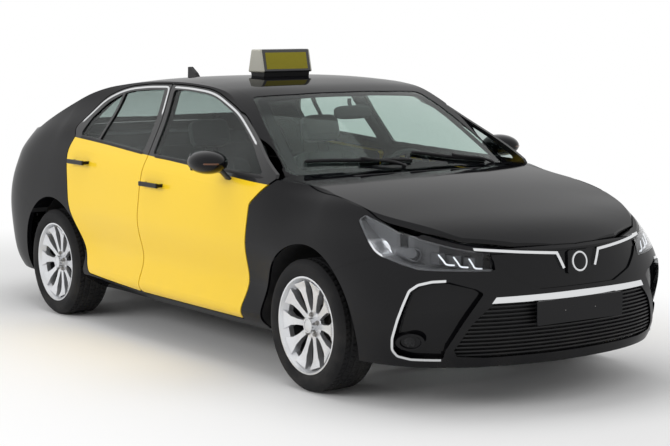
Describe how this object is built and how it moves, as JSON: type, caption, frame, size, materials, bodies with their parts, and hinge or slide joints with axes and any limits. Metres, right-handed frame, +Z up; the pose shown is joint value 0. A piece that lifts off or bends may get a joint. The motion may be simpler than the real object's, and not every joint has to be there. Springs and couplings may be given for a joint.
{
  "type": "four-door compact saloon taxi cab",
  "caption": "Black and yellow saloon taxi cab with a blank roof sign; doors, bonnet and boot lid open, front wheels steer and all wheels turn.",
  "frame": {"origin": "on the floor under the middle of the car", "axes": "+X forward, +Y to the car's left, +Z up"},
  "size_m": [4.6364, 2.08, 1.584],
  "materials": {
    "paint_black": "gloss",
    "paint_yellow": "gloss",
    "glass": "tinted",
    "lamp_clear": "clear",
    "lamp_red": "gloss",
    "alloy": "machined",
    "tyre": "matt",
    "black_plastic": "grained",
    "gloss_black": "gloss",
    "chrome": "polished",
    "steel_dark": "coated",
    "steel": "dull",
    "aluminium": "cast",
    "underbody": "satin",
    "cloth": "woven",
    "trim": "grained",
    "sign_white": "gloss"
  },
  "bodies": {
    "shell": {"body_side_left": "paint_black", "body_side_right": "paint_black", "fender_left": "paint_black", "fender_right": "paint_black", "roof_panel": "paint_black", "front_bumper": "paint_black", "rear_bumper": "paint_black", "rear_shelf": "paint_black", "windscreen": "glass", "rear_window": "glass", "headlamp_lenses": "lamp_clear", "tail_lamps": "lamp_red", "headlamps": "chrome", "front_chrome": "chrome", "fog_lamps": "gloss_black", "badge_panel": "gloss_black", "plate_holder": "black_plastic", "sign_foot": "black_plastic", "aerial_fin": "gloss_black", "lower_grille": "black_plastic", "cowl": "black_plastic", "floor_pan": "underbody", "front_structure": "underbody", "front_subframe": "steel_dark", "rear_axle": "steel_dark", "engine_block": "aluminium", "exhaust": "steel", "front_seats": "cloth", "rear_bench": "cloth", "dashboard": "trim", "steering_column": "trim", "roof_sign": "sign_white"},
    "door_front_right": {"door_front_right": "paint_yellow", "glass_front_right": "glass", "handle_front_right": "gloss_black", "mirror_right": "gloss_black"},
    "door_rear_right": {"door_rear_right": "paint_yellow", "glass_rear_right": "glass", "handle_rear_right": "gloss_black"},
    "door_front_left": {"door_front_left": "paint_yellow", "glass_front_left": "glass", "handle_front_left": "gloss_black", "mirror_left": "gloss_black"},
    "door_rear_left": {"door_rear_left": "paint_yellow", "glass_rear_left": "glass", "handle_rear_left": "gloss_black"},
    "bonnet": {"bonnet": "paint_black"},
    "boot_lid": {"boot_lid": "paint_black"},
    "knuckle_left": {"knuckle_left": "steel_dark"},
    "knuckle_right": {"knuckle_right": "steel_dark"},
    "steering_wheel": {"steering_wheel": "trim"},
    "wheel_front_left": {"alloy_wheel_front_left": "alloy", "tyre_front_left": "tyre"},
    "wheel_front_right": {"alloy_wheel_front_right": "alloy", "tyre_front_right": "tyre"},
    "wheel_rear_left": {"alloy_wheel_rear_left": "alloy", "tyre_rear_left": "tyre"},
    "wheel_rear_right": {"alloy_wheel_rear_right": "alloy", "tyre_rear_right": "tyre"}
  },
  "joints": [
    {"name": "door_front_right_hinge", "type": "hinge", "parent": "shell", "child": "door_front_right", "pos_m": [0.905, -0.857, 0.69], "axis": [0, 0, 1], "range_deg": [0, 65]},
    {"name": "door_rear_right_hinge", "type": "hinge", "parent": "shell", "child": "door_rear_right", "pos_m": [-0.2095, -0.85, 0.69], "axis": [0, 0, 1], "range_deg": [0, 65]},
    {"name": "door_front_left_hinge", "type": "hinge", "parent": "shell", "child": "door_front_left", "pos_m": [0.905, 0.857, 0.69], "axis": [0, 0, -1], "range_deg": [0, 65]},
    {"name": "door_rear_left_hinge", "type": "hinge", "parent": "shell", "child": "door_rear_left", "pos_m": [-0.2095, 0.85, 0.69], "axis": [0, 0, -1], "range_deg": [0, 65]},
    {"name": "bonnet_hinge", "type": "hinge", "parent": "shell", "child": "bonnet", "pos_m": [1.09, 0, 0.967], "axis": [0, -1, 0], "range_deg": [0, 48]},
    {"name": "boot_lid_hinge", "type": "hinge", "parent": "shell", "child": "boot_lid", "pos_m": [-1.78, 0, 1.092], "axis": [0, 1, 0], "range_deg": [0, 58]},
    {"name": "steer_left", "type": "hinge", "parent": "shell", "child": "knuckle_left", "pos_m": [1.375, 0.69, 0.317], "axis": [0, 0, 1], "range_deg": [-35, 35]},
    {"name": "steer_right", "type": "hinge", "parent": "shell", "child": "knuckle_right", "pos_m": [1.375, -0.69, 0.317], "axis": [0, 0, 1], "range_deg": [-35, 35]},
    {"name": "steering_wheel_turn", "type": "hinge", "parent": "shell", "child": "steering_wheel", "pos_m": [0.478, 0.365, 0.862], "axis": [-0.9272, 0, 0.3746], "range_deg": [-520, 520]},
    {"name": "wheel_front_left_spin", "type": "hinge", "parent": "knuckle_left", "child": "wheel_front_left", "pos_m": [1.375, 0.766, 0.317], "axis": [0, 1, 0], "continuous": true},
    {"name": "wheel_front_right_spin", "type": "hinge", "parent": "knuckle_right", "child": "wheel_front_right", "pos_m": [1.375, -0.766, 0.317], "axis": [0, 1, 0], "continuous": true},
    {"name": "wheel_rear_left_spin", "type": "hinge", "parent": "shell", "child": "wheel_rear_left", "pos_m": [-1.325, 0.766, 0.317], "axis": [0, 1, 0], "continuous": true},
    {"name": "wheel_rear_right_spin", "type": "hinge", "parent": "shell", "child": "wheel_rear_right", "pos_m": [-1.325, -0.766, 0.317], "axis": [0, 1, 0], "continuous": true}
  ],
  "couplings": [
    {"joint": "steer_right", "follows": "steer_left", "ratio": 1}
  ]
}
